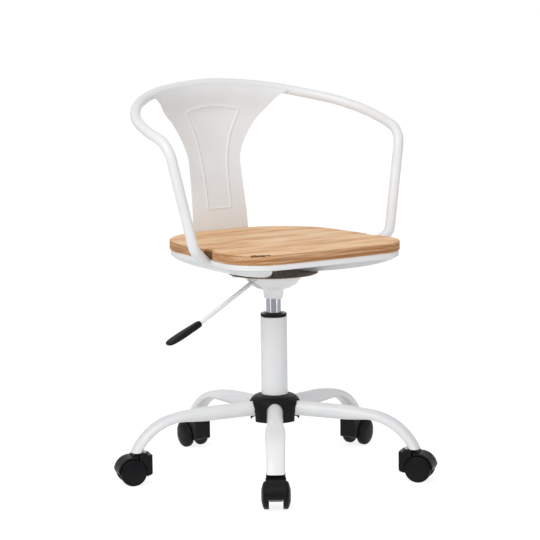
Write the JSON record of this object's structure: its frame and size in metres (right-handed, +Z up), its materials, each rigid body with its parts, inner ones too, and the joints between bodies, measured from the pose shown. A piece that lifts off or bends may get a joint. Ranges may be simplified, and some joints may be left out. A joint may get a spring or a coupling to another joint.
{
  "type": "swivel armchair",
  "caption": "Swivel armchair: wooden seat on a steel pan, bent tube arms and back with a pressed steel splat, gas lift with side lever, bent-leg base on twin-wheel casters.",
  "frame": {"origin": "on the floor, at the middle of the bounding box's footprint; the swivel axis stands 20 mm in front of it", "axes": "+Z up along the swivel axis, -Y towards the front of the seat, +X towards the sitter's left side"},
  "size_m": [0.6073, 0.5855, 0.7435],
  "materials": {
    "white_paint": "smooth white powder coat, semi-gloss",
    "seat_wood": "light straight-grained hardwood, satin",
    "black_nylon": "black nylon, fine texture",
    "black_wheel": "black nylon, satin",
    "black_grip": "black polypropylene, fine texture",
    "black_bush": "black acetal, glossy",
    "chrome": "hard chrome, polished",
    "bright_steel": "zinc plated",
    "grey_rod": "satin light grey",
    "bronzed_plate": "dark bronzed steel, satin"
  },
  "bodies": {
    "base": {"column_tube": "white_paint", "guide_bush": "black_bush", "thrust_bearing": "bright_steel", "hub_core": "white_paint", "hub_cover": "black_nylon", "leg_1": "white_paint", "leg_2": "white_paint", "leg_3": "white_paint", "leg_4": "white_paint", "leg_5": "white_paint"},
    "lift": {"piston_rod": "bright_steel", "retaining_clip": "bright_steel"},
    "seat": {"gas_cylinder": "chrome", "mechanism_housing": "white_paint", "lever_pin": "bright_steel", "mount_plate": "bronzed_plate", "plate_bolt_front_left": "bright_steel", "plate_bolt_front_right": "bright_steel", "plate_bolt_rear_right": "bright_steel", "plate_bolt_rear_left": "bright_steel", "seat_underframe": "white_paint", "seat_pan": "white_paint", "seat_board": "seat_wood", "seat_screw_front_left": "bright_steel", "seat_screw_front_right": "bright_steel", "seat_screw_rear_right": "bright_steel", "seat_screw_rear_left": "bright_steel", "arm_hoop": "white_paint", "back_splat": "white_paint"},
    "lever": {"lever_rod": "grey_rod", "lever_grip": "black_grip"},
    "valve": {"valve_button": "bright_steel"},
    "caster_1": {"caster_stem_1": "bright_steel", "caster_hood_1": "black_nylon", "caster_axle_1": "bright_steel"},
    "caster_2": {"caster_stem_2": "bright_steel", "caster_hood_2": "black_nylon", "caster_axle_2": "bright_steel"},
    "caster_3": {"caster_stem_3": "bright_steel", "caster_hood_3": "black_nylon", "caster_axle_3": "bright_steel"},
    "caster_4": {"caster_stem_4": "bright_steel", "caster_hood_4": "black_nylon", "caster_axle_4": "bright_steel"},
    "caster_5": {"caster_stem_5": "bright_steel", "caster_hood_5": "black_nylon", "caster_axle_5": "bright_steel"},
    "wheel_1_right": {"caster_wheel_1_right": "black_wheel"},
    "wheel_1_left": {"caster_wheel_1_left": "black_wheel"},
    "wheel_2_right": {"caster_wheel_2_right": "black_wheel"},
    "wheel_2_left": {"caster_wheel_2_left": "black_wheel"},
    "wheel_3_right": {"caster_wheel_3_right": "black_wheel"},
    "wheel_3_left": {"caster_wheel_3_left": "black_wheel"},
    "wheel_4_right": {"caster_wheel_4_right": "black_wheel"},
    "wheel_4_left": {"caster_wheel_4_left": "black_wheel"},
    "wheel_5_right": {"caster_wheel_5_right": "black_wheel"},
    "wheel_5_left": {"caster_wheel_5_left": "black_wheel"}
  },
  "joints": [
    {"name": "seat_swivel", "type": "hinge", "parent": "base", "child": "lift", "pos_m": [0, -0.02, 0.1], "axis": [0, 0, 1], "continuous": true},
    {"name": "height_lift", "type": "slide", "parent": "lift", "child": "seat", "axis": [0, 0, 1], "range_m": [0, 0.1]},
    {"name": "lever_lift", "type": "hinge", "parent": "seat", "child": "lever", "pos_m": [-0.03, -0.02, 0.375], "axis": [0, 1, 0], "range_deg": [0, 5], "stiffness_Nm_per_rad": 0.6, "springref_deg": -5.73},
    {"name": "valve_press", "type": "slide", "parent": "seat", "child": "valve", "axis": [0, 0, -1], "range_m": [0, 0.003]},
    {"name": "caster_swivel_1", "type": "hinge", "parent": "base", "child": "caster_1", "pos_m": [-0.14657, -0.24077, 0.06], "axis": [0, 0, 1], "continuous": true},
    {"name": "caster_swivel_2", "type": "hinge", "parent": "base", "child": "caster_2", "pos_m": [0.16468, -0.22762, 0.06], "axis": [0, 0, 1], "continuous": true},
    {"name": "caster_swivel_3", "type": "hinge", "parent": "base", "child": "caster_3", "pos_m": [0.24835, 0.07246, 0.06], "axis": [0, 0, 1], "continuous": true},
    {"name": "caster_swivel_4", "type": "hinge", "parent": "base", "child": "caster_4", "pos_m": [-0.01119, 0.24476, 0.06], "axis": [0, 0, 1], "continuous": true},
    {"name": "caster_swivel_5", "type": "hinge", "parent": "base", "child": "caster_5", "pos_m": [-0.25526, 0.05117, 0.06], "axis": [0, 0, 1], "continuous": true},
    {"name": "wheel_roll_1_right", "type": "hinge", "parent": "caster_1", "child": "wheel_1_right", "pos_m": [-0.15708, -0.2566, 0.025], "axis": [0.8331, -0.5531, 0], "continuous": true},
    {"name": "wheel_roll_1_left", "type": "hinge", "parent": "caster_1", "child": "wheel_1_left", "pos_m": [-0.15708, -0.2566, 0.025], "axis": [0.8331, -0.5531, 0], "continuous": true},
    {"name": "wheel_roll_2_right", "type": "hinge", "parent": "caster_2", "child": "wheel_2_right", "pos_m": [0.17648, -0.24251, 0.025], "axis": [0.7835, 0.6214, 0], "continuous": true},
    {"name": "wheel_roll_2_left", "type": "hinge", "parent": "caster_2", "child": "wheel_2_left", "pos_m": [0.17648, -0.24251, 0.025], "axis": [0.7835, 0.6214, 0], "continuous": true},
    {"name": "wheel_roll_3_right", "type": "hinge", "parent": "caster_3", "child": "wheel_3_right", "pos_m": [0.26615, 0.07909, 0.025], "axis": [-0.3489, 0.9372, 0], "continuous": true},
    {"name": "wheel_roll_3_left", "type": "hinge", "parent": "caster_3", "child": "wheel_3_left", "pos_m": [0.26615, 0.07909, 0.025], "axis": [-0.3489, 0.9372, 0], "continuous": true},
    {"name": "wheel_roll_4_right", "type": "hinge", "parent": "caster_4", "child": "wheel_4_right", "pos_m": [-0.01199, 0.26375, 0.025], "axis": [-0.9991, -0.0422, 0], "continuous": true},
    {"name": "wheel_roll_4_left", "type": "hinge", "parent": "caster_4", "child": "wheel_4_left", "pos_m": [-0.01199, 0.26375, 0.025], "axis": [-0.9991, -0.0422, 0], "continuous": true},
    {"name": "wheel_roll_5_right", "type": "hinge", "parent": "caster_5", "child": "wheel_5_right", "pos_m": [-0.27357, 0.05628, 0.025], "axis": [-0.2686, -0.9633, 0], "continuous": true},
    {"name": "wheel_roll_5_left", "type": "hinge", "parent": "caster_5", "child": "wheel_5_left", "pos_m": [-0.27357, 0.05628, 0.025], "axis": [-0.2686, -0.9633, 0], "continuous": true}
  ],
  "couplings": [
    {"joint": "valve_press", "follows": "lever_lift", "m_per_rad": 0.034}
  ]
}
